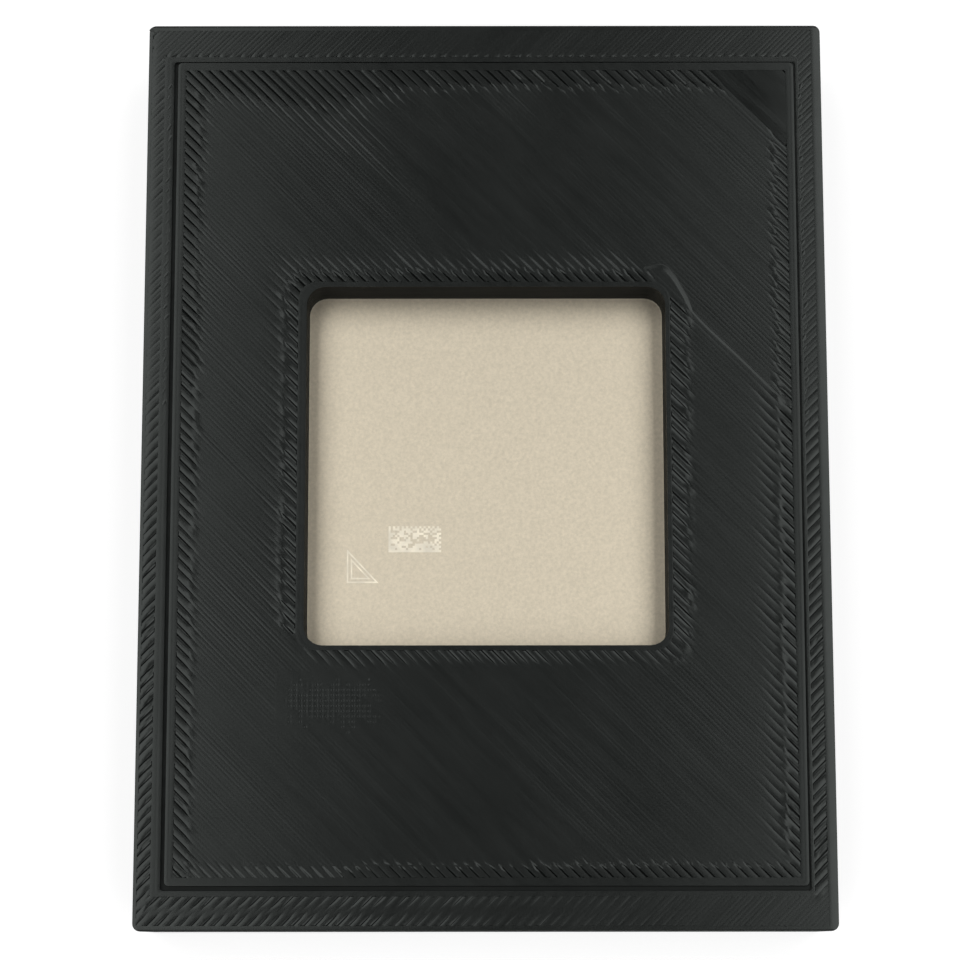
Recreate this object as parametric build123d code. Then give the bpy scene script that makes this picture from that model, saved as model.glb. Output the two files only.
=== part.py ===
from build123d import *
import os

# A printed carrier for one server processor: a tray, the processor that rests in it, and a lid
# that drops in on top and leaves the middle of the heat spreader in view through a window.
# Millimetres, +Z up, +Y along the long side, origin under the middle of the tray.

# Processor package that the carrier is made for
package_width = 56.6
package_length = 76.16
substrate_thickness = 2.0
substrate_corner_radius = 0.6
key_notch_radius = 1.0
key_notch_offset = 21.0

# Heat spreader: a flange with cut corners and a raised pedestal
flange_margin_side = 4.0
flange_margin_end = 5.6
flange_corner_cut = 4.5
flange_thickness = 1.6
flange_edge_round = 0.3
pedestal_width = 38.0
pedestal_length = 46.0
pedestal_height = 1.2
pedestal_corner_radius = 1.7
pedestal_edge_round = 0.3

# Die, and the layers above it and round it
die_width = 14.4
die_length = 22.5
die_thickness = 0.8
interface_thickness = 0.25
die_pocket_margin = 3.0
die_pocket_corner_radius = 1.5
sealant_thickness = 0.2
sealant_inset = 0.8
sealant_width = 2.6
sealant_vent = 6.0

# Capacitors under the middle of the board
capacitor_length = 1.6
capacitor_width = 0.8
capacitor_height = 0.5
capacitor_pitch_x = 2.6
capacitor_pitch_y = 2.0
capacitor_columns = 4
capacitor_rows = 7

# Printed tray
side_wall = 2.45
end_wall = 3.6
floor_thickness = 1.2
floor_relief = 0.8
seat_width = 3.0
tray_corner_radius = 0.7
cavity_corner_radius = 0.3
relief_corner_radius = 2.0

# Printed lid
lid_thickness = 5.0
lid_corner_radius = 0.4
lid_seat_side = 2.35
lid_seat_end = 6.25
window_corner_radius = 1.7

# Rounding that printing leaves on the top edges of the tray and the lid
print_edge_round = 0.2

# Fits, each per side
package_clearance_side = 0.95
package_clearance_end = 0.62
lid_clearance = 0.24

# Shares of the lid's loose fit by which the lid and the processor have slid, towards +X and +Y
slack_used_side = 0.4
slack_used_end = 0.75

# Plan sizes that follow
cavity_width = package_width + 2 * package_clearance_side
cavity_length = package_length + 2 * package_clearance_end
tray_width = cavity_width + 2 * side_wall
tray_length = cavity_length + 2 * end_wall
lid_width = cavity_width - 2 * lid_clearance
lid_length = cavity_length - 2 * lid_clearance
window_width = pedestal_width - 2 * lid_seat_side
window_length = pedestal_length - 2 * lid_seat_end
flange_width = package_width - 2 * flange_margin_side
flange_length = package_length - 2 * flange_margin_end

# Levels that follow, from the floor up
seat_level = floor_thickness + floor_relief
substrate_top = seat_level + substrate_thickness
flange_bottom = substrate_top + sealant_thickness
flange_top = flange_bottom + flange_thickness
die_top = substrate_top + die_thickness
interface_top = die_top + interface_thickness
pedestal_top = flange_top + pedestal_height
rim_level = pedestal_top + lid_thickness

# Where the loose pieces lie in the tray
lid_place = Pos(lid_clearance * slack_used_side, lid_clearance * slack_used_end, 0)
package_place = lid_place


def block(width, length, radius, bottom, top):
    """A plate with round upright corners between two levels."""
    return Pos(0, 0, bottom) * extrude(RectangleRounded(width, length, radius), top - bottom)


def top_edges(solid):
    """All edges that lie in the solid's highest level."""
    return solid.edges().group_by(Axis.Z)[-1]


def flange_outline():
    """The heat spreader's outline: a rectangle with its corners cut."""
    outline = Rectangle(flange_width, flange_length)
    return chamfer(outline.vertices(), flange_corner_cut)


def make_tray():
    """A box with a cavity, a seat for the board's edge and a relief under its land side."""
    tray = block(tray_width, tray_length, tray_corner_radius, 0, rim_level)
    tray -= block(cavity_width, cavity_length, cavity_corner_radius, seat_level, rim_level)
    relief_width = package_width - 2 * seat_width
    relief_length = package_length - 2 * seat_width
    tray -= block(relief_width, relief_length, relief_corner_radius, floor_thickness, seat_level)
    return fillet(top_edges(tray), print_edge_round)


def make_lid():
    """A plate that rests on the heat spreader's pedestal, with a window over its middle."""
    lid = block(lid_width, lid_length, lid_corner_radius, pedestal_top, rim_level)
    lid -= block(window_width, window_length, window_corner_radius, pedestal_top, rim_level)
    return lid_place * fillet(top_edges(lid), print_edge_round)


def make_package_substrate():
    """The laminate board, with a key notch in each long edge."""
    board = block(package_width, package_length, substrate_corner_radius, seat_level, substrate_top)
    for side in (-1, 1):
        notch_place = Pos(side * package_width / 2, -key_notch_offset, seat_level)
        board -= notch_place * extrude(Circle(key_notch_radius), substrate_thickness)
    return package_place * board


def make_heat_spreader():
    """A stepped metal cap with a pocket over the die."""
    flange = Pos(0, 0, flange_bottom) * extrude(flange_outline(), flange_thickness)
    flange = fillet(top_edges(flange), flange_edge_round)
    pedestal = block(pedestal_width, pedestal_length, pedestal_corner_radius, flange_top, pedestal_top)
    pedestal = fillet(top_edges(pedestal), pedestal_edge_round)
    pocket = block(
        die_width + 2 * die_pocket_margin,
        die_length + 2 * die_pocket_margin,
        die_pocket_corner_radius,
        flange_bottom,
        interface_top,
    )
    return package_place * (flange + pedestal - pocket)


def make_silicon_die():
    """The bare chip on the board."""
    die = extrude(Rectangle(die_width, die_length), die_thickness)
    return package_place * Pos(0, 0, substrate_top) * die


def make_thermal_interface():
    """The layer that fills the space between the die and the heat spreader."""
    layer = extrude(Rectangle(die_width, die_length), interface_thickness)
    return package_place * Pos(0, 0, die_top) * layer


def make_spreader_sealant():
    """A flat bead under the flange, open at one end as a vent."""
    outer = offset(flange_outline(), -sealant_inset, kind=Kind.INTERSECTION)
    inner = offset(flange_outline(), -(sealant_inset + sealant_width), kind=Kind.INTERSECTION)
    vent = Pos(0, -flange_length / 2) * Rectangle(sealant_vent, flange_length / 2)
    return package_place * Pos(0, 0, substrate_top) * extrude(outer - inner - vent, sealant_thickness)


def make_land_side_capacitors():
    """A grid of small chip capacitors that hang under the board, in the tray's relief."""
    chip = extrude(Rectangle(capacitor_length, capacitor_width), -capacitor_height)
    spots = GridLocations(capacitor_pitch_x, capacitor_pitch_y, capacitor_columns, capacitor_rows)
    chips = [package_place * Pos(0, 0, seat_level) * spot * chip for spot in spots]
    return Compound(children=chips)


os.makedirs("parts", exist_ok=True)
export_step(make_tray(), "parts/tray.step")
export_step(make_lid(), "parts/lid.step")
export_step(make_package_substrate(), "parts/package_substrate.step")
export_step(make_heat_spreader(), "parts/heat_spreader.step")
export_step(make_silicon_die(), "parts/silicon_die.step")
export_step(make_thermal_interface(), "parts/thermal_interface.step")
export_step(make_spreader_sealant(), "parts/spreader_sealant.step")
export_step(make_land_side_capacitors(), "parts/land_side_capacitors.step")
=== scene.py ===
import math
from dataclasses import dataclass, replace

import bmesh
import bpy
import numpy as np
from mathutils import Matrix, Vector


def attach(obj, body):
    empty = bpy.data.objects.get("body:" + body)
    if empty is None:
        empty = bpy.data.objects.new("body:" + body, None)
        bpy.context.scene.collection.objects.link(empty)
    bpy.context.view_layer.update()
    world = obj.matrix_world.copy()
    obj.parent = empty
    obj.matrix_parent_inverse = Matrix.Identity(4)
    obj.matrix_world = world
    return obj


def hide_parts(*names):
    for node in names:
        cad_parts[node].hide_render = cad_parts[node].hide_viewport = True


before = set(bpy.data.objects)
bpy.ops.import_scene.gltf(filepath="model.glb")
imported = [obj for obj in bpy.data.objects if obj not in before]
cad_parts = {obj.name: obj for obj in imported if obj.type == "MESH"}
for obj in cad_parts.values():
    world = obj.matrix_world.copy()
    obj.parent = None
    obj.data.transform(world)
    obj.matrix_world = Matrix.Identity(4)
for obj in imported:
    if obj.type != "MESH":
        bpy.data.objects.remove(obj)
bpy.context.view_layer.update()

MM = 0.001

# Print settings of the tray and the lid, in millimetres
LAYER = 0.2
LAYER_BULGE = 0.06
LINE_PITCH = 0.357
BASE_LINE_PITCH = 0.45
SKIN = 0.2
GROOVE = 0.16

# Places up a printed layer, and how far its wall is drawn in there
LAYER_PROFILE = ((0, 1), (0.12, 0.4), (0.35, 0), (0.65, 0), (0.88, 0.4))

# Directions of printed lines in plan
FALLING = math.radians(-45)
RISING = math.radians(45)

# Segments of a round corner, and the angle in degrees above which an edge is sharp
CORNER_SEGMENTS = 6
SHARP = 42.0

# Corners of the printed pieces in plan, in millimetres
TRAY_CORNER = 0.7
CAVITY_CORNER = 0.3
RELIEF_CORNER = 2.0
LID_CORNER = 0.4
WINDOW_CORNER = 1.7
FILL_CORNER = 0.1

# Ledge where the cavity closes in on the lid, less deep towards +X and +Y, in millimetres
LEDGE_DEPTH = 0.3
LEDGE_TILT = np.array((0.12, 0.06))
LEDGE_GAP = 0.03
LEDGE_FOOT = 0.6

# Widths of the smooth loops between an edge and the lines, along X and Y, and the window's lip
RIM_LOOPS = (0.62, 0.5)
RIM_FILL_SHIFT = -0.3
LID_LOOPS = 0.76
WINDOW_LOOPS_LOW = np.array((0.8, 0.45))
WINDOW_LOOPS_HIGH = np.array((0.45, 0.5))
WINDOW_LIP = 0.03
WINDOW_LIP_WIDTH = 0.2

# Loops side by side, the seams beside them, and the rounding of the outermost one
LOOP_COUNT = 2
LOOP_SEAM = 0.0012
LOOP_LAST_SEAM = 3 * LOOP_SEAM
LIP_SHARE = 0.05
LIP_PLACE = -0.46

# Places across a printed line as shares of its width, and its drop there between even valleys
BEAD_ACROSS = np.array((-0.5, -0.28, 0.0, 0.28, 0.5))
BEAD_DROP = np.array((1.0, 0.3, 0.0, 0.3, 1.0))
BEAD_SIDES = (-0.5, 0, 0.5)

# Its drop towards a wider valley on one side, with a sloping flank or a steep one
BEAD_SLOPE = np.array((1.0, 0.5, 0.17, 0.03, 0.0))
BEAD_STEP = np.array((1.0, 0.06, 0.0, 0.0, 0.0))

# How a steep flank shifts those places, and its foot, which stays where it is
BEAD_STEP_SHIFT = np.array((0.0, -0.17, 0.0, 0.0, 0.0))
BEAD_FOOT = np.array((1.0, 0.0, 0.0, 0.0, 0.0))

# Drop of a lone ridge
BEAD_RIDGE = np.array((1.0, 0.72, 0.38, 0.06, 1.0))

# Depth of a line's root in millimetres, and its width in line pitches
BEAD_SUNK = SKIN + 0.1
BEAD_WIDTH = 1.1

# Pull in millimetres that opens a full valley, how much sooner a steep one opens, and the widest
FULL_PULL = 0.12
STEEP_SOONER = 3
WIDEST_VALLEY = 1.2
STEEP_NARROWER = 0.2

# How sharply lines stop being drawn together and pairs change partners, and the faintest end
FADE_POWER = 12
SWAP_SHARPNESS = 2.5
FAINTEST = 0.03

# Chance in the lines: how far and how long each pair is drawn, stray, height, valleys and lumps
LINE_SEED = 3
SWAY_RANGE = (0.5, 1.2)
STRETCH_RANGE = (0.85, 1.2)
WANDER = 0.018
LIFT = 0.001
FLAT_RANGE = (0.3, 1.7)
LUMP_RANGE = (0.85, 1.15)
LUMP_LENGTH = 0.3

# Distances from a line's end that set its shape, then the steps between, in millimetres
END_STATIONS = (0.0, 0.12, 0.3, 0.6, 1.0, 1.4, 1.7, 2.0, 2.4, 2.8, 3.2, 3.8, 4.6, 5.6, 7.0)
END_CLEARANCE = 0.1
INNER_STEP = 6.0
SPAN_SAMPLE = 0.04

# Waves of an uneven field: radians per millimetre along X and Y, and a start
PATCH_WAVES = ((0.31, 0.17, 1.3), (-0.12, 0.23, 0.0), (0.47, -0.41, 2.1))

# Low bead over the gaps at a round corner, in degrees and millimetres
COVER_ANGLES = (-40, -20, 0, 20, 40)
COVER_WIDTH = 0.7
COVER_SUNK = 0.011
COVER_HEIGHT = 0.003

# Shape of a small blob: places along it, and its widths there
BLOB_PLACES = np.array((-1, -0.5, 0, 0.5, 1))
BLOB_TAPER = np.array((0.3, 0.85, 1, 0.85, 0.3))

# Margins for points inside an outline and at one level, in millimetres
INSIDE_LID = 5.0
INSIDE_TRAY = 1.0
SAME_LEVEL = 0.01

# Camera, in millimetres and degrees
CAMERA_TILT = 9.5
CAMERA_DISTANCE = 255.65
CAMERA_AIM = (-0.479, -1.305)
CAMERA_ROLL = -0.045
CAMERA_LENS = 104.19
CAMERA_NEAR = 5.0


# Sizes taken from the frame, in millimetres


def node_points(node):
    """A node's corners at rest, in millimetres."""
    return np.array([v.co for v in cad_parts[node].data.vertices]) / MM


def middle_and_half(points):
    """The middle of a set of points and half its reach, in plan."""
    low = points[:, :2].min(0)
    high = points[:, :2].max(0)
    return (low + high) / 2, (high - low) / 2


def inner_points(points, margin):
    """The points that lie well inside the outline of the set."""
    middle, half = middle_and_half(points)
    return points[(np.abs(points[:, :2] - middle) < half - margin).all(1)]


def at_level(points, level):
    """The points that lie at one level."""
    return points[np.abs(points[:, 2] - level) < SAME_LEVEL]


tray_points = node_points("tray")
lid_points = node_points("lid")
tray_middle, tray_half = middle_and_half(tray_points)
lid_middle, lid_half = middle_and_half(lid_points)
rim_top = tray_points[:, 2].max()
lid_top = lid_points[:, 2].max()
lid_bottom = lid_points[:, 2].min()
window_points = at_level(inner_points(lid_points, INSIDE_LID), lid_bottom)
window_middle, window_half = middle_and_half(window_points)
seat_level = node_points("package_substrate")[:, 2].min()
spreader_top = node_points("heat_spreader")[:, 2].max()
cavity_points = inner_points(tray_points, INSIDE_TRAY)
floor_level = cavity_points[:, 2].min()
cavity_half = middle_and_half(at_level(cavity_points, seat_level))[1]
relief_half = middle_and_half(at_level(cavity_points, floor_level))[1]


# Mesh tools


def add_object(name, data):
    """A new object in the scene."""
    made = bpy.data.objects.new(name, data)
    bpy.context.scene.collection.objects.link(made)
    return made


class PrintMesh:
    """Gathers closed shells, in millimetres, into one mesh."""

    def __init__(self):
        self.points = []
        self.faces = []
        self.count = 0

    def add(self, rings, closed=False):
        """Skins rings of equally many points, with closed ends or as a loop."""
        rings = np.asarray(rings)
        stations, sides = rings.shape[:2]
        for i in range(stations if closed else stations - 1):
            here = self.count + i * sides
            there = self.count + (i + 1) % stations * sides
            for j in range(sides):
                k = (j + 1) % sides
                self.faces.append((here + j, here + k, there + k, there + j))
        if not closed:
            last = self.count + (stations - 1) * sides
            self.faces.append(tuple(range(self.count + sides - 1, self.count - 1, -1)))
            self.faces.append(tuple(range(last, last + sides)))
        self.points.append(rings.reshape(-1, 3))
        self.count += stations * sides

    def build(self, name, material, sharp_angle=SHARP):
        """The finished object, in metres."""
        mesh = bpy.data.meshes.new(name)
        mesh.from_pydata((np.concatenate(self.points) * MM).tolist(), [], self.faces)
        work = bmesh.new()
        work.from_mesh(mesh)
        bmesh.ops.recalc_face_normals(work, faces=work.faces)
        work.to_mesh(mesh)
        work.free()
        mesh.shade_smooth()
        mesh.set_sharp_from_angle(angle=math.radians(sharp_angle))
        mesh.materials.append(material)
        return add_object(name, mesh)


def outline(middle, half, corner, grow=0.0):
    """Points of a rectangle with round corners, grown outwards."""
    points = []
    for quarter, (side_x, side_y) in enumerate(((1, 1), (-1, 1), (-1, -1), (1, -1))):
        centre = np.array([side_x * (half[0] - corner), side_y * (half[1] - corner)]) + middle
        for step in range(CORNER_SEGMENTS + 1):
            angle = math.pi / 2 * (quarter + step / CORNER_SEGMENTS)
            outwards = np.array([math.cos(angle), math.sin(angle)])
            points.append(centre + (corner + grow) * outwards)
    return np.array(points)


def level_ring(middle, half, corner, level, grow=0.0):
    """A level ring of points round a rectangle with round corners, grown outwards."""
    points = outline(middle, half, corner, grow)
    return np.column_stack([points, np.full(len(points), level)])


def layered_wall(middle, half, corner, bottom, top, side):
    """Rings up a wall of printed layers; side is 1 where the outside is air, else -1."""
    count = round((top - bottom) / LAYER)
    height = (top - bottom) / count
    rings = []
    for layer in range(count):
        seam = bottom + height * layer
        for share, sunk in LAYER_PROFILE:
            grow = -side * LAYER_BULGE * sunk
            rings.append(level_ring(middle, half, corner, seam + height * share, grow))
    rings.append(level_ring(middle, half, corner, top, -side * LAYER_BULGE))
    return rings


def rounded_depth(x, y, middle, half, corner):
    """Depth of a point inside a rectangle with round corners, negative outside."""
    over_x = np.abs(x - middle[0]) - (half[0] - corner)
    over_y = np.abs(y - middle[1]) - (half[1] - corner)
    outside = np.hypot(np.maximum(over_x, 0), np.maximum(over_y, 0))
    return corner - outside - np.minimum(np.maximum(over_x, over_y), 0)


# Printed lines


@dataclass
class End:
    """How lines end: how far they are drawn together in pairs and over what length, where the
    pairs have changed partners and how weak they are then, the height of a lump on each line, and
    the depth and steepness of the valleys between the pairs."""

    pull: float
    reach: float
    swap: float = 0.0
    second: float = 0.0
    lump: float = 0.0
    open: float = 0.09
    steep: float = 0.0

    def lump_place(self):
        """How far from the end the lumps lie."""
        return self.swap / 2 or self.reach

    def drawn(self, place):
        """How far lines are drawn together at a distance from the end."""
        fade = 1 / (1 + (place / self.reach) ** FADE_POWER)
        if not self.swap:
            return self.pull * fade
        wave = np.tanh(SWAP_SHARPNESS * np.cos(np.pi * place / self.swap))
        return self.pull * fade * np.where(wave < 0, self.second * wave, wave)


@dataclass
class Fill:
    """How parallel lines lie: direction, depth of even valleys, reach of the ends, and pitch."""

    angle: float
    flat: float
    detail: float
    pitch: float = LINE_PITCH


def spans(depth_at, along, across, offset, reach):
    """Start and end of each stretch of one line that lies inside a region."""
    u = np.arange(-reach, reach, SPAN_SAMPLE)
    depth = depth_at(u * along[0] + offset * across[0], u * along[1] + offset * across[1])
    edges = np.flatnonzero(np.diff(depth > 0))
    crossings = u[edges] + SPAN_SAMPLE * depth[edges] / (depth[edges] - depth[edges + 1])
    return crossings.reshape(-1, 2)


def nearest_span(found, span):
    """The stretch of a neighbouring line that goes on from this one, else this one."""
    if len(found) == 0:
        return span
    best = found[np.argmin(np.abs(found - span).sum(1))]
    return best if np.abs(best - span).max() < 2 * LINE_PITCH else span


def stations(length, detail):
    """Places along a line: close together at its ends, wide apart between."""
    longest = length / 2 - END_CLEARANCE
    ends = [e for e in END_STATIONS if e <= detail and e < longest] or [0.0]
    count = max(1, math.ceil((length - 2 * ends[-1]) / INNER_STEP))
    inner = np.linspace(ends[-1], length - ends[-1], count + 1)
    return np.concatenate([ends[:-1], inner, length - np.array(ends[:-1][::-1])])


def patchiness(x, y):
    """A smooth uneven field from 0 to 1, a few millimetres across."""
    waves = sum(np.sin(turn_x * x + turn_y * y + start) for turn_x, turn_y, start in PATCH_WAVES)
    return 0.5 + waves / (2 * len(PATCH_WAVES))


def bead_rings(tops, level, facing):
    """Closed sections of a line: the points over its top and one sunk into the piece."""
    sunk = tops[:, 2:3].copy()
    sunk[:, :, 2] = level - facing * BEAD_SUNK
    return np.concatenate([tops, sunk], axis=1)


def even_relief(x, y):
    """Valleys as deep everywhere."""
    return np.ones_like(x)


def no_rise(x, y):
    """Lines level everywhere."""
    return np.zeros_like(x)


def lumps_along(place, length, first, last, random):
    """Heights of the lumps that are left near both ends of a line."""
    lump_place = random.uniform(*LUMP_RANGE, 2) * (first.lump_place(), last.lump_place())
    lump_size = random.uniform(0, 1, 2) ** 2 * (first.lump, last.lump)
    lumps = lump_size[0] * np.exp(-(((place - lump_place[0]) / LUMP_LENGTH) ** 2))
    lumps += lump_size[1] * np.exp(-(((length - place - lump_place[1]) / LUMP_LENGTH) ** 2))
    return lumps


def leaning_section(drawn, steep):
    """A section drawn aside: its places' shift, its foot's hold, and its drop to both sides."""
    parted = (1 + STEEP_SOONER * steep) * (drawn / FULL_PULL)
    widest = WIDEST_VALLEY - STEEP_NARROWER * steep
    below = np.clip(parted, 0, widest)
    above = np.clip(-parted, 0, widest)
    shift_below = np.minimum(below, 1) * BEAD_STEP_SHIFT
    shift_above = np.minimum(above, 1) * BEAD_STEP_SHIFT[::-1]
    foot = np.where(drawn > 0, BEAD_FOOT, BEAD_FOOT[::-1])
    flank = BEAD_SLOPE + steep * (BEAD_STEP - BEAD_SLOPE)
    flanks = below * flank + above * flank[:, ::-1]
    return steep * (shift_below - shift_above), steep * foot * drawn, flanks


def infill(
    mesh, depth_at, fill, end_at, reach, level, facing=1, relief_at=even_relief, rise_at=no_rise
):
    """Lays parallel lines over a region, drawn together in pairs near their ends."""
    along = np.array((math.cos(fill.angle), math.sin(fill.angle)))
    across = np.array((-along[1], along[0]))
    random = np.random.default_rng(LINE_SEED)
    count = int(reach / fill.pitch)
    sway = random.uniform(*SWAY_RANGE, (2, 2 * count + 3))
    stretch = random.uniform(*STRETCH_RANGE, (2, 2 * count + 3))
    for k in range(-count, count + 1):
        offset = k * fill.pitch
        found = spans(depth_at, along, across, offset, reach)
        if len(found) == 0:
            continue
        before = spans(depth_at, along, across, offset - fill.pitch / 2, reach)
        after = spans(depth_at, along, across, offset + fill.pitch / 2, reach)
        mate = 1 if k % 2 == 0 else -1
        first_pair = k // 2 + count
        last_pair = (k + 1) // 2 + count
        for span in found:
            length = span[1] - span[0]
            wander = random.normal(0, WANDER * fill.pitch)
            lift = random.normal(0, LIFT)
            flat = fill.flat * random.uniform(*FLAT_RANGE)
            if length < fill.pitch / 2:
                continue
            first = end_at(*(span[0] * along + offset * across), True)
            last = end_at(*(span[1] * along + offset * across), False)
            low = nearest_span(before, span)
            high = nearest_span(after, span)
            place = stations(length, fill.detail)
            from_last = length - place
            drawn_first = sway[0, first_pair] * first.drawn(place * stretch[0, first_pair])
            drawn_last = sway[1, last_pair] * last.drawn(from_last * stretch[1, last_pair])
            drawn = mate * (drawn_first - drawn_last)
            lumps = lumps_along(place, length, first, last, random)
            starts = np.interp(BEAD_ACROSS, BEAD_SIDES, (low[0], span[0], high[0]))
            ends = np.interp(BEAD_ACROSS, BEAD_SIDES, (low[1], span[1], high[1]))
            near_first = place[:, None] < length / 2
            steep = np.where(near_first, first.steep, last.steep)
            valley = np.where(near_first, first.open, last.open)
            shift, held, flanks = leaning_section(drawn[:, None], steep)
            aside = (BEAD_ACROSS + shift) * BEAD_WIDTH * fill.pitch
            u = starts + place[:, None] / length * (ends - starts)
            v = (offset + wander + drawn)[:, None] + aside - held
            x = u * along[0] + v * across[0]
            y = u * along[1] + v * across[1]
            drop = flat * relief_at(x, y) * BEAD_DROP + valley * flanks
            crest = lift + lumps[:, None] + rise_at(x, y)
            tops = np.stack([x, y, level - facing * (drop - crest)], axis=2)
            mesh.add(bead_rings(tops, level, facing))


def flat_bead(middle, across, drops, level, facing, places=BEAD_ACROSS, rise_at=no_rise):
    """Sections of a line along a path, with the same drops all along it."""
    plan = middle[:, None] + across[:, None] * places[:, None]
    heights = level - facing * (drops - rise_at(plan[:, :, 0], plan[:, :, 1]))
    return bead_rings(np.concatenate([plan, heights[:, :, None]], axis=2), level, facing)


def loops(mesh, edge, inner, level, facing=1, lip=SKIN, rise_at=no_rise):
    """Lays smooth loops side by side between an edge and the lines."""
    for loop in range(LOOP_COUNT):
        outside = edge + (inner - edge) * loop / LOOP_COUNT
        inside = edge + (inner - edge) * (loop + 1) / LOOP_COUNT
        drops = BEAD_DROP * LOOP_SEAM
        places = BEAD_ACROSS.copy()
        if loop == 0:
            drops[:2] = lip, LIP_SHARE * lip
            places[1] = LIP_PLACE
        if loop == LOOP_COUNT - 1:
            drops[3:] = LOOP_SEAM, LOOP_LAST_SEAM
        middle = (outside + inside) / 2
        rings = flat_bead(middle, inside - outside, drops, level, facing, places, rise_at)
        mesh.add(rings, closed=True)


def bead_along(mesh, points, widths, level, height, section=BEAD_DROP):
    """One raised line along a path, with a width for all of it or one for each point."""
    points = np.asarray(points, float)
    ahead = np.gradient(points, axis=0)
    ahead /= np.linalg.norm(ahead, axis=1)[:, None]
    widths = np.broadcast_to(widths, len(points))
    across = np.column_stack([-ahead[:, 1], ahead[:, 0]]) * widths[:, None]
    mesh.add(flat_bead(points, across, section * height, level + height, 1))


def corner_cover(mesh, middle, half, corner, side, level):
    """A low bead over the gaps between a round corner and the lines."""
    centre = middle + np.array(side) * (half - corner)
    angles = math.atan2(side[1], side[0]) + np.radians(COVER_ANGLES)
    path = centre + corner * np.column_stack([np.cos(angles), np.sin(angles)])
    bead_along(mesh, path, COVER_WIDTH, level - COVER_SUNK, COVER_HEIGHT)


def smooth_path(points, per_span):
    """Points along a smooth curve through the given ones."""
    points = np.asarray(points, float)
    padded = np.vstack([2 * points[0] - points[1], points, 2 * points[-1] - points[-2]])
    path = []
    for a, b, c, d in zip(padded, padded[1:], padded[2:], padded[3:]):
        square = 2 * a - 5 * b + 4 * c - d
        cube = 3 * b - a - 3 * c + d
        for t in np.arange(per_span) / per_span:
            path.append(0.5 * (2 * b + (c - a) * t + square * t**2 + cube * t**3))
    path.append(points[-1])
    return np.array(path)


# Materials

# Range of a noise that is mapped to a range of values
NOISE_RANGE = (0.3, 0.7)

# Sockets of a colour mix
MIX_FACTOR = 0
MIX_FIRST = 6
MIX_SECOND = 7
MIX_RESULT = 2

# Colours of the finishes, each from dark to light
TRAY_COLOURS = ((0.004, 0.0046, 0.0043), (0.007, 0.0077, 0.0073))
LID_COLOURS = ((0.0035, 0.0041, 0.0038), (0.006, 0.0067, 0.0063))
METAL_COLOURS = ((0.595, 0.53, 0.412), (0.735, 0.654, 0.514))
PLASTIC_SHINE = (0.93, 1, 0.96, 1)

# Roughness of the finishes, each as a range
LINE_ROUGHNESS = (0.22, 0.27)
SMOOTH_ROUGHNESS = (0.1, 0.19)
WALL_ROUGHNESS = (0.5, 0.65)
METAL_ROUGHNESS = (0.39, 0.45)

# Grain of the plain finishes in millimetres, and how far their colour varies
PLAIN_GRAIN = 0.3
PLAIN_VARIATION = 0.15


def feed(tree, socket, value):
    """Sets a socket to a value, or links it to another socket."""
    if isinstance(value, bpy.types.NodeSocket):
        tree.links.new(value, socket)
    else:
        socket.default_value = value


def new_material(name):
    """A node material, and its tree and principled shader."""
    material = bpy.data.materials.new(name)
    material.use_nodes = True
    return material, material.node_tree, material.node_tree.nodes["Principled BSDF"]


def add_node(tree, kind, **inputs):
    """A node of the tree, with its inputs set or linked."""
    node = tree.nodes.new("ShaderNode" + kind)
    for key, value in inputs.items():
        feed(tree, node.inputs[key.replace("_", " ")], value)
    return node


def noise(tree, size_mm, detail=2.0, roughness=0.5, turn=0.0, stretch=1.0):
    """Noise with features about that large, stretched along a direction in plan."""
    place = add_node(tree, "TexCoord").outputs["Object"]
    if stretch != 1.0:
        rotation = (0, 0, -turn)
        squeeze = (1 / stretch, 1, 1)
        turned = add_node(tree, "Mapping", Vector=place, Rotation=rotation).outputs[0]
        place = add_node(tree, "Mapping", Vector=turned, Scale=squeeze).outputs[0]
    scale = 1 / (size_mm * MM)
    return add_node(
        tree, "TexNoise", Vector=place, Scale=scale, Detail=detail, Roughness=roughness
    ).outputs["Fac"]


def map_range(tree, value, source, target):
    """Maps a value from one range to another."""
    node = add_node(tree, "MapRange", Value=value)
    for key, end in zip(("From Min", "From Max", "To Min", "To Max"), (*source, *target)):
        node.inputs[key].default_value = end
    return node.outputs["Result"]


def colour(tree, shader, tone, dark, light):
    """Gives a shader a colour between two by a noise."""
    node = add_node(tree, "Mix")
    node.data_type = "RGBA"
    feed(tree, node.inputs[MIX_FACTOR], map_range(tree, tone, NOISE_RANGE, (0, 1)))
    feed(tree, node.inputs[MIX_FIRST], (*dark, 1))
    feed(tree, node.inputs[MIX_SECOND], (*light, 1))
    feed(tree, shader.inputs["Base Color"], node.outputs[MIX_RESULT])


def bump(tree, shader, height, depth_mm, strength):
    """Fine relief on the surface."""
    depth = depth_mm * MM
    node = add_node(tree, "Bump", Height=height, Strength=strength, Distance=depth)
    feed(tree, shader.inputs["Normal"], node.outputs["Normal"])


def printed_plastic(name, colours, turn, roughness, specular):
    """Black printed plastic with a skin that is uneven along its lines."""
    material, tree, shader = new_material(name)
    colour(tree, shader, noise(tree, size_mm=6.0), *colours)
    streaks = noise(tree, size_mm=1.0, detail=4.0, roughness=0.6, turn=turn, stretch=9.0)
    feed(tree, shader.inputs["Roughness"], map_range(tree, streaks, NOISE_RANGE, roughness))
    feed(tree, shader.inputs["Specular IOR Level"], specular)
    feed(tree, shader.inputs["Specular Tint"], PLASTIC_SHINE)
    bump(tree, shader, noise(tree, size_mm=0.09, detail=3.0), depth_mm=0.003, strength=0.5)
    return material


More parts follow.
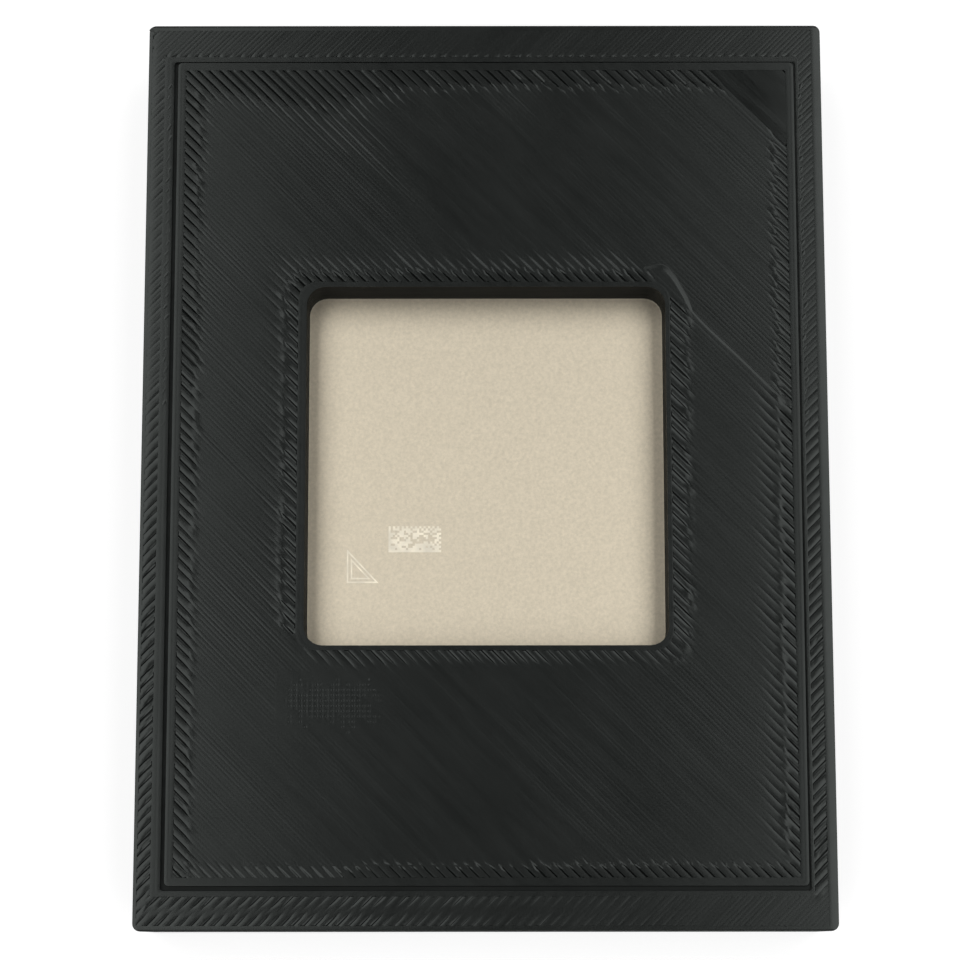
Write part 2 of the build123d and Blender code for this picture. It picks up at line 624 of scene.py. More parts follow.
def plated_metal(name):
    """Satin nickel plating with a warm tint and a fine blasted grain."""
    material, tree, shader = new_material(name)
    feed(tree, shader.inputs["Metallic"], 1.0)
    colour(tree, shader, noise(tree, size_mm=0.3, detail=5.0, roughness=0.7), *METAL_COLOURS)
    shine = noise(tree, size_mm=0.25, detail=4.0)
    feed(tree, shader.inputs["Roughness"], map_range(tree, shine, NOISE_RANGE, METAL_ROUGHNESS))
    grain = noise(tree, size_mm=0.14, detail=3.0, roughness=0.6)
    bump(tree, shader, grain, depth_mm=0.007, strength=0.8)
    return material


def plain_material(name, middle_colour, roughness, metallic=0.0):
    """A plain finish whose colour varies a little, with a fine grain."""
    material, tree, shader = new_material(name)
    dark = [c * (1 - PLAIN_VARIATION) for c in middle_colour]
    light = [c * (1 + PLAIN_VARIATION) for c in middle_colour]
    colour(tree, shader, noise(tree, size_mm=4 * PLAIN_GRAIN, detail=3.0), dark, light)
    feed(tree, shader.inputs["Roughness"], roughness)
    feed(tree, shader.inputs["Metallic"], metallic)
    bump(tree, shader, noise(tree, size_mm=PLAIN_GRAIN), depth_mm=0.004, strength=0.5)
    return material


tray_plastic = printed_plastic("tray_plastic", TRAY_COLOURS, RISING, LINE_ROUGHNESS, specular=0.42)
tray_wall_plastic = printed_plastic(
    "tray_wall_plastic", TRAY_COLOURS, 0.0, WALL_ROUGHNESS, specular=0.2
)
lid_plastic = printed_plastic("lid_plastic", LID_COLOURS, FALLING, LINE_ROUGHNESS, specular=0.4)
lid_smooth_plastic = printed_plastic(
    "lid_smooth_plastic", LID_COLOURS, FALLING, SMOOTH_ROUGHNESS, specular=0.4
)
lid_wall_plastic = printed_plastic(
    "lid_wall_plastic", LID_COLOURS, 0.0, WALL_ROUGHNESS, specular=0.1
)
metal = plated_metal("plated_metal")
mark_metal = plain_material("laser_mark", (0.86, 0.8, 0.67), roughness=0.6, metallic=0.7)
laminate = plain_material("board_laminate", (0.02, 0.09, 0.045), roughness=0.35)
silicon = plain_material("silicon", (0.08, 0.08, 0.1), roughness=0.2, metallic=0.3)
paste = plain_material("interface_paste", (0.45, 0.45, 0.47), roughness=0.6)
sealant = plain_material("sealant", (0.02, 0.02, 0.02), roughness=0.5)
ceramic = plain_material("capacitor_body", (0.3, 0.2, 0.11), roughness=0.45)


# Tray

# Lines of the rim, and how they end
RIM_FILL = Fill(RISING, flat=0.002, detail=1.7)
RIM_SIDE_FIRST = End(pull=0.09, reach=2.5, lump=0.03, open=0.045)
RIM_SIDE_LAST = End(pull=0.0, reach=1.0, lump=0.03)
RIM_DOTS = End(pull=0.05, reach=0.25)
RIM_STROKES = End(pull=0.08, reach=1.2, lump=0.03, open=0.07)
PLAIN_END = End(pull=0.0, reach=1.0)

# Strength of the rim's line ends half way along, and how it changes
RIM_SIDE_MIDDLE = 0.45
RIM_SIDE_FADE = 28.0
RIM_SIDE_LEAST = 0.12
RIM_STROKES_MIDDLE = 0.5
RIM_STROKES_FADE = 40.0

# How much deeper the rim's valleys are towards its far end
RIM_FAR_RELIEF = 1.3
RIM_FAR_OVER = 20.0

# How the rim falls away towards the outer edge, along its sides and its ends
RIM_ROUND = np.array((0.9, 0.25))
RIM_ROUND_DEPTH = np.array((0.06, 0.12))

# Rows of blobs along the rim's inner edges: from, to and step, and their sizes
RIM_BLOBS = (4.0, 37.0, 1.01)
RIM_BLOB_SEED = 5
RIM_BLOB_INSET = 0.4
RIM_BLOB_STRAY = 0.06
RIM_BLOB_SIZE = (0.32, 0.55)
RIM_BLOB_LENGTHS = (0.4, 0.7)
RIM_BLOB_WIDTHS = (0.7, 1.2)
RIM_BLOB_HEIGHT = 0.022
RIM_BLOB_HEIGHTS = (0.3, 1)
RIM_BLOB_SUNK = 0.004

# Lines of the undersides
BASE_FILL = Fill(FALLING, flat=0.02, detail=0.3, pitch=BASE_LINE_PITCH)
LID_BASE_FILL = Fill(RISING, flat=0.02, detail=0.3, pitch=BASE_LINE_PITCH)
BASE_END = End(pull=0.04, reach=0.6, open=0.03)

rim_fill_middle = tray_middle + np.array((RIM_FILL_SHIFT, 0))
rim_fill_outer = tray_half - np.array(RIM_LOOPS)
rim_fill_inner = cavity_half + np.array(RIM_LOOPS)
base_fill_half = tray_half - LID_LOOPS


def rim_depth(x, y):
    """Depth of a point inside the rim's lines."""
    outer = rounded_depth(x, y, rim_fill_middle, rim_fill_outer, FILL_CORNER)
    inner = -rounded_depth(x, y, rim_fill_middle, rim_fill_inner, FILL_CORNER)
    return np.minimum(outer, inner)


def base_depth(x, y):
    """Depth of a point inside the lines of the tray's underside."""
    return rounded_depth(x, y, tray_middle, base_fill_half, FILL_CORNER)


def faded(end, strength):
    """The same end, drawn together less."""
    strength = min(1.0, max(FAINTEST, strength))
    return replace(end, pull=end.pull * strength, lump=end.lump * strength)


def rim_end(x, y, first):
    """How the rim's lines end: in bars along its sides, fainter towards +Y, in dots at the far end,
    and in strokes along the near end, fainter towards +X."""
    if y > rim_fill_inner[1] - SPAN_SAMPLE:
        return RIM_DOTS if first else PLAIN_END
    if y < SPAN_SAMPLE - rim_fill_inner[1]:
        return faded(RIM_STROKES, RIM_STROKES_MIDDLE - x / RIM_STROKES_FADE)
    strength = max(RIM_SIDE_LEAST, RIM_SIDE_MIDDLE - y / RIM_SIDE_FADE)
    return faded(RIM_SIDE_FIRST if first else RIM_SIDE_LAST, strength)


def rim_relief(x, y):
    """Where the rim's lines stand out: towards its far end."""
    return 1 + RIM_FAR_RELIEF * np.clip(y / RIM_FAR_OVER, 0, 1)


def rim_rise(x, y):
    """How the rim falls away towards the tray's outer edge."""
    near_side = np.maximum(0, 1 - (tray_half[0] - np.abs(x)) / RIM_ROUND[0])
    near_end = np.maximum(0, 1 - (tray_half[1] - np.abs(y)) / RIM_ROUND[1])
    return -np.maximum(RIM_ROUND_DEPTH[0] * near_side**2, RIM_ROUND_DEPTH[1] * near_end**2)


def always(end):
    """Lines that end the same everywhere."""
    return lambda x, y, first: end


def tray_piece(mesh, name, material):
    """A finished piece of the tray."""
    piece = mesh.build(name, material)
    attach(piece, "tray")
    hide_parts("tray")


def ledge_ring(middle, half, corner):
    """A ring of the ledge beside the lid."""
    ring = level_ring(middle, half, corner, rim_top - LEDGE_DEPTH, LEDGE_GAP)
    ring[:, 2] += (ring[:, :2] / tray_half) @ LEDGE_TILT
    return ring


def make_tray_body():
    """The tray's layered walls and its floor."""
    mesh = PrintMesh()
    skin = rim_top - SKIN
    foot = rim_top - LEDGE_FOOT
    rings = layered_wall(tray_middle, tray_half, TRAY_CORNER, SKIN, skin, 1)
    rings.append(level_ring(tray_middle, cavity_half, CAVITY_CORNER, skin, LEDGE_GAP))
    rings.append(ledge_ring(tray_middle, cavity_half, CAVITY_CORNER))
    rings.append(ledge_ring(lid_middle, lid_half, LID_CORNER))
    cavity_wall = layered_wall(lid_middle, lid_half + LEDGE_GAP, LID_CORNER, seat_level, foot, -1)
    rings += cavity_wall[::-1]
    rings.append(level_ring(tray_middle, relief_half, RELIEF_CORNER, seat_level))
    rings.append(level_ring(tray_middle, relief_half, RELIEF_CORNER, floor_level))
    mesh.add(rings)
    tray_piece(mesh, "tray_body", tray_wall_plastic)


def make_tray_base():
    """The tray's underside: lines within loops."""
    mesh = PrintMesh()
    edge = outline(tray_middle, tray_half, TRAY_CORNER)
    fill = outline(tray_middle, base_fill_half, FILL_CORNER)
    loops(mesh, edge, fill, 0.0, facing=-1)
    reach = math.hypot(*tray_half)
    infill(mesh, base_depth, BASE_FILL, always(BASE_END), reach, 0.0, facing=-1)
    tray_piece(mesh, "tray_base", tray_plastic)


def add_rim_blobs(mesh):
    """Rows of blobs along both inner edges of the rim."""
    random = np.random.default_rng(RIM_BLOB_SEED)
    for side in (-1, 1):
        for y in np.arange(*RIM_BLOBS):
            x = side * (cavity_half[0] + RIM_BLOB_INSET) + random.normal(0, RIM_BLOB_STRAY)
            tip = np.array(RIM_BLOB_SIZE) * random.uniform(*RIM_BLOB_LENGTHS, 2)
            path = np.array((x, y)) + np.outer(BLOB_PLACES, tip)
            widths = RIM_BLOB_SIZE[0] * random.uniform(*RIM_BLOB_WIDTHS) * BLOB_TAPER
            height = RIM_BLOB_HEIGHT * random.uniform(*RIM_BLOB_HEIGHTS)
            bead_along(mesh, path, widths, rim_top - RIM_BLOB_SUNK, height)


def make_tray_rim():
    """The tray's rim: short lines between smooth loops."""
    mesh = PrintMesh()
    outer_edge = outline(tray_middle, tray_half, TRAY_CORNER)
    inner_edge = outline(tray_middle, cavity_half, CAVITY_CORNER)
    outer_fill = outline(rim_fill_middle, rim_fill_outer, FILL_CORNER)
    inner_fill = outline(rim_fill_middle, rim_fill_inner, FILL_CORNER)
    loops(mesh, outer_edge, outer_fill, rim_top, rise_at=rim_rise)
    loops(mesh, inner_edge, inner_fill, rim_top)
    reach = math.hypot(*tray_half)
    infill(
        mesh, rim_depth, RIM_FILL, rim_end, reach, rim_top, relief_at=rim_relief, rise_at=rim_rise
    )
    for side in ((-1, 1), (1, -1)):
        corner_cover(mesh, rim_fill_middle, rim_fill_outer, FILL_CORNER, side, rim_top)
        corner_cover(mesh, rim_fill_middle, rim_fill_inner, FILL_CORNER, side, rim_top)
    add_rim_blobs(mesh)
    tray_piece(mesh, "tray_rim", tray_plastic)


# Lid

# Lines of the lid's top, their spare reach, and how they end at its edges and round the window
LID_FILL = Fill(FALLING, flat=0.006, detail=7.0)
PATCH_FILL = Fill(FALLING, flat=0.0006, detail=0.3)
LID_SPARE_REACH = 1.0
EDGE_FIRST = End(pull=0.095, reach=1.9, lump=0.04, open=0.048)
EDGE_TOP = End(pull=0.13, reach=1.9, lump=0.015, open=GROOVE, steep=1.0)
EDGE_LAST = End(pull=0.105, reach=4.0, swap=3.5, second=0.4, lump=0.04, open=0.058)
EDGE_LAST_FAR = End(pull=0.11, reach=1.7, lump=0.04, open=0.1, steep=0.6)
EDGE_BOTTOM = End(pull=0.08, reach=1.3, lump=0.012, open=GROOVE, steep=1.0)
WINDOW_FIRST = End(pull=0.105, reach=2.1, lump=0.05, open=0.06)
WINDOW_BOTTOM = End(pull=0.07, reach=1.6, lump=0.05, open=0.05)
WINDOW_LAST = End(pull=0.105, reach=4.0, swap=3.7, second=0.2, lump=0.05, open=0.055)
WINDOW_TOP = End(pull=0.11, reach=3.4, swap=2.8, second=0.05, lump=0.03, open=GROOVE, steep=0.95)

# Where those ends change along the edges, in millimetres
FAR_FROM = 5.0
BOTTOM_FAINT = 0.12
BOTTOM_FADE = 16.0
STEEP_FROM = 8.0
STEEP_OVER = 8.0
LONG_BARS = 3.0
LONG_BARS_MIDDLE = -20.0
LONG_BARS_SPREAD = 7.0

# How the valleys deepen towards the upper left, and spots with their size and strength
RELIEF_LEAST = 0.3
RELIEF_PATCHY = 1.3
RELIEF_MIDDLE = 0.35
RELIEF_OVER = 60
RELIEF_SPOTS = (
    (-22.0, -14.0, 5.0, 1.0),
    (22.0, 14.0, 6.0, 0.5),
    (8.0, -27.0, 8.0, 1.0),
    (20.0, -22.0, 6.0, 0.4),
)

# Smooth patch in the +X +Y corner
CORNER_PATCH_START = 41.6
CORNER_PATCH_STEP = 0.03

# Patch of crossed lines: its place and size, its mesh, and its relief in millimetres
HATCH_MIDDLE = (-14.3, -21.8)
HATCH_HALF = (4.8, 2.8)
HATCH_EDGE = 0.15
HATCH_EDGE_SUNK = 0.001
HATCH_STEP = 0.06
HATCH_SHARP = 20.0
HATCH_PITCH = 0.48
HATCH_PIT = 0.1
HATCH_PIT_POWER = 4
HATCH_KNOT = 0.005

# Chance of a pit: factors that scatter it, and how it fades towards a ragged border
HATCH_SCATTER = (12.9898, 78.233, 43758.5453)
HATCH_WAVES = ((2.3, 1.1), (-0.8, 1.9))
HATCH_FADE = 2.2
HATCH_RAGGED = 0.3
HATCH_FEWER = 0.1
HATCH_MORE_RIGHT = 0.03
HATCH_SURE = 0.15
HATCH_UNSURE = 0.5

# Scar dragged from the window's corner, with its string and its blob
SCAR_SUNK = 0.003
SCAR_ARC = (
    (14.78, 18.73), (16.48, 18.84), (17.42, 18.04), (18.15, 16.87), (18.79, 15.66), (19.24, 14.56)
)
SCAR_ARC_STEPS = 6
SCAR_ARC_WIDTHS = ((0, 0.2, 0.8, 1), (0.3, 0.52, 0.46, 0.3))
SCAR_ARC_HEIGHT = 0.085
SCAR_STRING = ((19.24, 14.56), (20.7, 12.99), (23.63, 10.14), (27.0, 6.74), (27.8, 5.9))
SCAR_STRING_STEPS = 10
SCAR_STRING_WIDTHS = ((0, 0.3, 0.9, 1), (0.2, 0.24, 0.3, 0.3))
SCAR_STRING_HEIGHT = 0.066
SCAR_BLOB = ((27.35, 6.6), (27.6, 6.35), (27.9, 6.05), (28.15, 5.8), (28.3, 5.65))
SCAR_BLOB_WIDTHS = (0.3, 0.6, 0.7, 0.6, 0.3)
SCAR_BLOB_HEIGHT = 0.1

# Seam along the lid's near end, a line and then dots
SEAM_SUNK = 0.002
SEAM_LINE = ((-22.0, -36.45), (-12.0, -36.43), (-1.0, -36.5))
SEAM_LINE_STEPS = 8
SEAM_LINE_WIDTH = 0.16
SEAM_LINE_HEIGHT = 0.012
SEAM_DOTS = ((5.0, -36.35), (23.0, -36.3))
SEAM_DOT_SEED = 7
SEAM_DOT_STEP = 0.72
SEAM_DOT_STRAY = (0.12, 0.04)
SEAM_DOT_REACH = (0.16, 0)
SEAM_DOT_WIDTH = 0.24
SEAM_DOT_HEIGHT = 0.02

lid_fill_half = lid_half - LID_LOOPS
lid_lines_top = lid_middle[1] + lid_fill_half[1] - LINE_PITCH
lid_lines_bottom = lid_middle[1] - lid_fill_half[1] + LINE_PITCH
window_fill_middle = window_middle + (WINDOW_LOOPS_HIGH - WINDOW_LOOPS_LOW) / 2
window_fill_half = window_half + (WINDOW_LOOPS_HIGH + WINDOW_LOOPS_LOW) / 2
window_sides_top = window_fill_middle[1] + window_fill_half[1] - WINDOW_CORNER
window_sides_bottom = window_fill_middle[1] - window_fill_half[1] + WINDOW_CORNER


def from_lid_edge(x, y):
    """Distance inwards from the loops along the lid's outer edge."""
    return rounded_depth(x, y, lid_middle, lid_fill_half, FILL_CORNER)


def from_window(x, y):
    """Distance outwards from the loops round the window."""
    return -rounded_depth(x, y, window_fill_middle, window_fill_half, WINDOW_CORNER)


def lid_depth(x, y):
    """Depth of a point inside the lid's lines."""
    return np.minimum(from_lid_edge(x, y), from_window(x, y))


def past_patch_edge(x, y):
    """Distance past the edge of the smooth patch in the +X +Y corner."""
    return (x + y) / math.sqrt(2) - CORNER_PATCH_START


def lid_top_depth(x, y):
    """Depth of a point inside the main lines of the lid's top."""
    return np.minimum(np.minimum(lid_depth(x, y), -past_patch_edge(x, y)), -hatch_depth(x, y))


def lid_patch_depth(x, y):
    """Depth of a point inside the smooth patch."""
    return np.minimum(lid_depth(x, y), past_patch_edge(x, y))


def hatch_depth(x, y):
    """Depth of a point inside the patch of crossed lines."""
    return rounded_depth(x, y, HATCH_MIDDLE, HATCH_HALF, FILL_CORNER)


def hatch_pitted(x, y, share):
    """Whether the cells of the patch have pits, fewer where their share is small."""
    scatter_x, scatter_y, scatter = HATCH_SCATTER
    cells = scatter_x * np.round(x / HATCH_PITCH) + scatter_y * np.round(y / HATCH_PITCH)
    chance = np.sin(cells) * scatter % 1
    return share > HATCH_SURE + HATCH_UNSURE * chance


def hatch_rise(x, y):
    """Relief of the patch of crossed lines: pits between them, and knots where they cross."""
    depth = hatch_depth(x, y)
    first, second = [np.sin(turn_x * x + turn_y * y) for turn_x, turn_y in HATCH_WAVES]
    share = depth / HATCH_FADE + HATCH_RAGGED * (first * second) - HATCH_FEWER
    share = np.clip(share + HATCH_MORE_RIGHT * (x - HATCH_MIDDLE[0]), 0, 1)
    wave_x = np.cos(2 * math.pi * x / HATCH_PITCH)
    wave_y = np.cos(2 * math.pi * y / HATCH_PITCH)
    hollow = (np.maximum(0, wave_x) * np.maximum(0, wave_y)) ** HATCH_PIT_POWER
    pits = np.where(hatch_pitted(x, y, share), hollow, 0)
    knots = share * np.maximum(0, -wave_x) * np.maximum(0, -wave_y)
    return HATCH_KNOT * knots - HATCH_PIT * pits - np.where(depth < 0, HATCH_EDGE_SUNK, 0)


def lid_end(x, y, first):
    """How a line of the lid's top ends at a place."""
    if hatch_depth(x, y) > -LINE_PITCH:
        return PLAIN_END
    if from_window(x, y) < from_lid_edge(x, y):
        if first:
            return WINDOW_BOTTOM if y < window_sides_bottom else WINDOW_FIRST
        return WINDOW_TOP if y > window_sides_top else WINDOW_LAST
    if not first and y < lid_lines_bottom:
        return faded(EDGE_BOTTOM, max(BOTTOM_FAINT, 1 + x / BOTTOM_FADE))
    if not first:
        return EDGE_LAST_FAR if y > FAR_FROM else EDGE_LAST
    if y < lid_lines_top:
        steep = float(np.clip((y - STEEP_FROM) / STEEP_OVER, 0, 1))
        deeper = EDGE_FIRST.open + steep * (GROOVE - EDGE_FIRST.open)
        return replace(EDGE_FIRST, steep=steep, open=deeper)
    longer = LONG_BARS * math.exp(-(((x - LONG_BARS_MIDDLE) / LONG_BARS_SPREAD) ** 2))
    return replace(EDGE_TOP, reach=EDGE_TOP.reach + longer)


def lid_relief(x, y):
    """Where the lid's lines stand out: most at the upper left, and in a few spots."""
    towards_corner = np.clip(RELIEF_MIDDLE + (y - x) / RELIEF_OVER, 0, 1)
    relief = RELIEF_LEAST + RELIEF_PATCHY * towards_corner * patchiness(x, y) ** 2
    for spot_x, spot_y, size, strength in RELIEF_SPOTS:
        relief += strength * np.exp(-((x - spot_x) ** 2 + (y - spot_y) ** 2) / size**2)
    return relief


def lid_piece(mesh, name, material, sharp_angle=SHARP):
    """A finished piece of the lid."""
    piece = mesh.build(name, material, sharp_angle)
    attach(piece, "lid")
    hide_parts("lid")


def make_lid_body():
    """The lid's layered walls."""
    mesh = PrintMesh()
    bottom = lid_bottom + SKIN
    skin = lid_top - SKIN
    lip = lid_top - WINDOW_LIP
    rings = layered_wall(lid_middle, lid_half, LID_CORNER, bottom, skin, 1)
    for level in (skin, lip):
        rings.append(level_ring(window_middle, window_half, WINDOW_CORNER, level, WINDOW_LIP_WIDTH))
    rings += layered_wall(window_middle, window_half, WINDOW_CORNER, bottom, lip, -1)[::-1]
    mesh.add(rings, closed=True)
    lid_piece(mesh, "lid_body", lid_wall_plastic)


def make_lid_edges():
    """The loops round the lid's edges, above and below, and its underside of lines."""
    mesh = PrintMesh()
    outer_edge = outline(lid_middle, lid_half, LID_CORNER)
    outer_fill = outline(lid_middle, lid_fill_half, FILL_CORNER)
    inner_edge = outline(window_middle, window_half, WINDOW_CORNER)
    inner_fill = outline(window_fill_middle, window_fill_half, WINDOW_CORNER)
    for level, facing, lip in ((lid_top, 1, WINDOW_LIP), (lid_bottom, -1, SKIN)):
        loops(mesh, outer_edge, outer_fill, level, facing)
        loops(mesh, inner_edge, inner_fill, level, facing, lip)
    reach = math.hypot(*lid_half)
    infill(mesh, lid_depth, LID_BASE_FILL, always(BASE_END), reach, lid_bottom, facing=-1)
    lid_piece(mesh, "lid_edges", lid_plastic)


def make_lid_top():
    """The diagonal lines of the lid's top, with a smooth, lower patch in one corner."""
    reach = math.hypot(*lid_half) + LID_SPARE_REACH
    mesh = PrintMesh()
    infill(mesh, lid_top_depth, LID_FILL, lid_end, reach, lid_top, relief_at=lid_relief)
    lid_piece(mesh, "lid_top_lines", lid_plastic)
    mesh = PrintMesh()
    low = lid_top - CORNER_PATCH_STEP
    infill(mesh, lid_patch_depth, PATCH_FILL, always(PLAIN_END), reach, low)
    lid_piece(mesh, "lid_corner_lines", lid_smooth_plastic)


def add_hatch(mesh):
    """The patch of crossed lines, set flush into the lid's top."""
    low = np.subtract(HATCH_MIDDLE, HATCH_HALF) - HATCH_EDGE
    high = np.add(HATCH_MIDDLE, HATCH_HALF) + HATCH_EDGE
    across = np.arange(low[1], high[1] + HATCH_STEP / 2, HATCH_STEP)
    root = np.array(((high[1], lid_top - BEAD_SUNK), (low[1], lid_top - BEAD_SUNK)))
    rings = []
    for x in np.arange(low[0], high[0] + HATCH_STEP / 2, HATCH_STEP):
        top = np.column_stack([across, lid_top + hatch_rise(np.full(len(across), x), across)])
        section = np.vstack([top, root])
        rings.append(np.column_stack([np.full(len(section), x), section]))
    mesh.add(rings)


def add_scar(mesh):
    """The arc at the window's corner, the string that runs on from it, and the blob at its end."""
    level = lid_top - SCAR_SUNK
    for points, steps, widths, height in (
        (SCAR_ARC, SCAR_ARC_STEPS, SCAR_ARC_WIDTHS, SCAR_ARC_HEIGHT),
        (SCAR_STRING, SCAR_STRING_STEPS, SCAR_STRING_WIDTHS, SCAR_STRING_HEIGHT),
    ):
        path = smooth_path(points, steps)
        path_widths = np.interp(np.linspace(0, 1, len(path)), *widths)
        bead_along(mesh, path, path_widths, level, height, BEAD_RIDGE)
    bead_along(mesh, SCAR_BLOB, SCAR_BLOB_WIDTHS, level, SCAR_BLOB_HEIGHT, BEAD_RIDGE)


def add_seam(mesh):
    """The seam along the lid's near end."""
    level = lid_top - SEAM_SUNK
    line = smooth_path(SEAM_LINE, SEAM_LINE_STEPS)
    bead_along(mesh, line, SEAM_LINE_WIDTH, level, SEAM_LINE_HEIGHT)
    random = np.random.default_rng(SEAM_DOT_SEED)
    dots = np.arange(SEAM_DOTS[0][0], SEAM_DOTS[1][0], SEAM_DOT_STEP)
    for x in dots + random.normal(0, SEAM_DOT_STRAY[0], len(dots)):
        y = np.interp(x, *np.transpose(SEAM_DOTS)) + random.normal(0, SEAM_DOT_STRAY[1])
        path = np.array((x, y)) + np.outer(BLOB_PLACES, SEAM_DOT_REACH)
        bead_along(mesh, path, SEAM_DOT_WIDTH * BLOB_TAPER, level, SEAM_DOT_HEIGHT)


def make_lid_flaws():
    """Flaws of the print: the patch of crossed lines, the scar and the seam."""
    mesh = PrintMesh()
    add_hatch(mesh)
    for side in ((-1, -1), (1, 1)):
        corner_cover(mesh, lid_middle, lid_fill_half, FILL_CORNER, side, lid_top)
        corner_cover(mesh, window_fill_middle, window_fill_half, WINDOW_CORNER, side, lid_top)
    add_scar(mesh)
    add_seam(mesh)
    lid_piece(mesh, "lid_flaws", lid_plastic, HATCH_SHARP)


# Processor

# Marks on the heat spreader, in millimetres
MARK_HEIGHT = 0.006
TRIANGLE = ((-12.92, -7.02), (-12.92, -10.2), (-9.94, -10.2))
TRIANGLE_LINE = 0.14
TRIANGLE_INNER_CORNER = (-12.55, -9.85)
TRIANGLE_INNER_SHARE = 0.62

# Block of cells: its corner, its cells, and the share that chance marks
CODE_CORNER = (-9.04, -7.31)
CODE_CELLS = (24, 12)
CODE_CELL = 0.205
CODE_SEED = 11
CODE_SHARE = 0.56


def finish_processor():
    """Gives the processor's own pieces their finishes."""
    finishes = {
        "heat_spreader": metal,
        "package_substrate": laminate,
        "silicon_die": silicon,
        "thermal_interface": paste,
        "spreader_sealant": sealant,
        "land_side_capacitors": ceramic,
    }
    for node, material in finishes.items():
        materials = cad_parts[node].data.materials
        materials.clear()
        materials.append(material)


def mark_ring(corners, side):
    """The corners of a mark above the spreader's top, or below it where side is -1."""
    return np.column_stack([corners, np.full(len(corners), spreader_top + side * MARK_HEIGHT)])


def add_triangle(mesh, corners):
    """An outlined triangle of even line width."""
    corners = np.asarray(corners, float)
    sides = np.linalg.norm(np.roll(corners, -1, axis=0) - np.roll(corners, 1, axis=0), axis=1)
    centre = (sides[:, None] * corners).sum(0) / sides.sum()
    ahead = corners[1] - corners[0]
    aside = centre - corners[0]
    radius = abs(ahead[0] * aside[1] - ahead[1] * aside[0]) / np.linalg.norm(ahead)
    inner = centre + (corners - centre) * (1 - TRIANGLE_LINE / radius)
    steps = ((corners, -1), (corners, 1), (inner, 1), (inner, -1))
    mesh.add([mark_ring(*step) for step in steps], closed=True)


def code_cell(i, j, random):
    """Whether a cell of the block is marked: two solid sides, two broken ones, chance between."""
    if i == 0 or j == 0:
        return True
    if i == CODE_CELLS[0] - 1:
        return j % 2 == 0
    if j == CODE_CELLS[1] - 1:
        return i % 2 == 0
    return random.random() < CODE_SHARE


def make_marks():
    """Laser marks: the orientation triangle, and a block of cells scattered by chance."""
    mesh = PrintMesh()
    triangle = np.array(TRIANGLE)
    add_triangle(mesh, triangle)
    add_triangle(mesh, TRIANGLE_INNER_CORNER + (triangle - triangle[1]) * TRIANGLE_INNER_SHARE)
    random = np.random.default_rng(CODE_SEED)
    for i in range(CODE_CELLS[0]):
        for j in range(CODE_CELLS[1]):
            if code_cell(i, j, random):
                x = CODE_CORNER[0] + i * CODE_CELL
                y = CODE_CORNER[1] + j * CODE_CELL
                right = x + CODE_CELL
                top = y + CODE_CELL
                corners = ((x, y), (right, y), (right, top), (x, top))
                mesh.add([mark_ring(corners, side) for side in (-1, 1)])
    piece = mesh.build("laser_marks", mark_metal)
    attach(piece, "tray")


# Stage

# Floor: half its size and its depth in metres, its colour and its glow
FLOOR_HALF = 3.0
FLOOR_DEPTH = 0.00002
FLOOR_COLOUR = (0.5, 0.5, 0.5, 1)
FLOOR_GLOW = 0.7

# Sky: the heights between which it dims, its strength below and above, and its colour
SKY_HEIGHTS = (0.15, 0.75)
SKY_STRENGTHS = (0.9, 0.1)
SKY_COLOUR = (1, 1, 1, 1)

# Panels overhead: their size and places in metres, and their power in watts
PANEL_SIZE = (0.34, 1.0)
PANELS = (("left_panel", (-0.265, -0.05, 0.6), 2.1), ("right_panel", (0.28, -0.05, 0.6), 2.22))


def combine(tree, operation, first, second):
    """The result of an operation on two values."""
    node = add_node(tree, "Math")
    node.operation = operation
    feed(tree, node.inputs[0], first)
    feed(tree, node.inputs[1], second)
    return node.outputs[0]


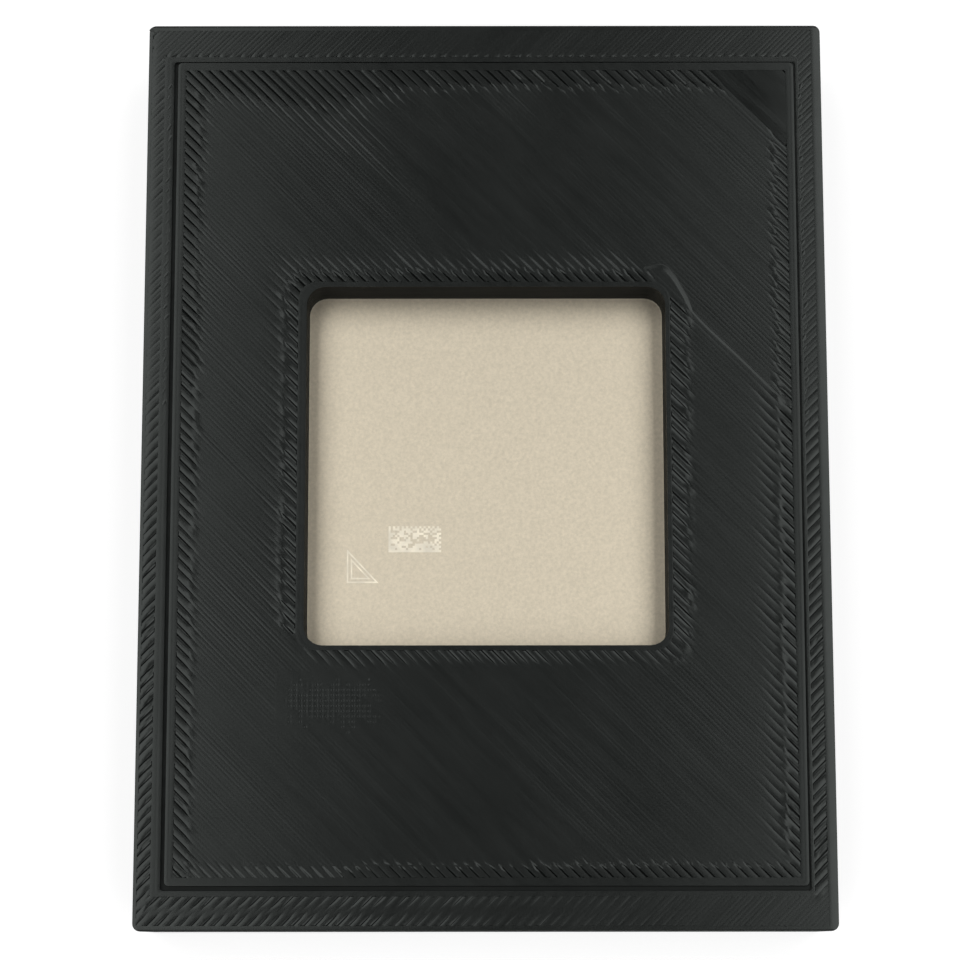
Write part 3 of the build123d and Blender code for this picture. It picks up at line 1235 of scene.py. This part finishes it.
def make_floor():
    """A pale floor that keeps the shadow and shows near white."""
    material, tree = new_material("floor")[:2]
    tree.nodes.clear()
    rays = add_node(tree, "LightPath").outputs
    seen = combine(tree, "MAXIMUM", rays["Is Camera Ray"], rays["Is Glossy Ray"])
    seen = combine(tree, "MAXIMUM", seen, rays["Is Transmission Ray"])
    strength = combine(tree, "MULTIPLY", seen, FLOOR_GLOW)
    glow = add_node(tree, "Emission", Strength=strength)
    diffuse = add_node(tree, "BsdfDiffuse", Color=FLOOR_COLOUR)
    both = add_node(tree, "AddShader")
    feed(tree, both.inputs[0], diffuse.outputs[0])
    feed(tree, both.inputs[1], glow.outputs[0])
    add_node(tree, "OutputMaterial", Surface=both.outputs[0])
    mesh = bpy.data.meshes.new("floor")
    corners = [(x * FLOOR_HALF, y * FLOOR_HALF, 0) for x, y in ((-1, -1), (1, -1), (1, 1), (-1, 1))]
    mesh.from_pydata(corners, [], [(0, 1, 2, 3)])
    mesh.materials.append(material)
    floor = add_object("floor", mesh)
    floor.location.z = -FLOOR_DEPTH


def make_world():
    """A sky that is white near the horizon and dim overhead."""
    world = bpy.data.worlds.new("studio")
    bpy.context.scene.world = world
    world.use_nodes = True
    tree = world.node_tree
    place = add_node(tree, "TexCoord").outputs["Generated"]
    height = add_node(tree, "SeparateXYZ", Vector=place).outputs["Z"]
    sky = tree.nodes["Background"].inputs
    feed(tree, sky["Strength"], map_range(tree, height, SKY_HEIGHTS, SKY_STRENGTHS))
    feed(tree, sky["Color"], SKY_COLOUR)


def make_panels():
    """Two soft panels overhead that face down."""
    for name, place, power in PANELS:
        light = bpy.data.lights.new(name, "AREA")
        light.shape = "RECTANGLE"
        light.size = PANEL_SIZE[0]
        light.size_y = PANEL_SIZE[1]
        light.energy = power
        add_object(name, light).location = place


def make_camera():
    """The photograph's viewpoint, nearly straight above the lid."""
    tilt = math.radians(CAMERA_TILT)
    aim = Vector((*CAMERA_AIM, rim_top)) * MM
    back = Vector((0, -math.sin(tilt), math.cos(tilt)))
    right = Vector((1, 0, 0))
    up = back.cross(right)
    turn = Matrix((right, up, back)).transposed().to_4x4()
    data = bpy.data.cameras.new("camera")
    data.lens = CAMERA_LENS
    data.clip_start = CAMERA_NEAR * MM
    roll = Matrix.Rotation(math.radians(CAMERA_ROLL), 4, "Z")
    camera = add_object("camera", data)
    camera.matrix_world = Matrix.Translation(aim + back * CAMERA_DISTANCE * MM) @ turn @ roll
    bpy.context.scene.camera = camera


make_camera()
make_tray_body()
make_tray_base()
make_tray_rim()
make_lid_body()
make_lid_edges()
make_lid_top()
make_lid_flaws()
finish_processor()
make_marks()
make_floor()
make_world()
make_panels()
bpy.context.scene.view_settings.view_transform = "Standard"
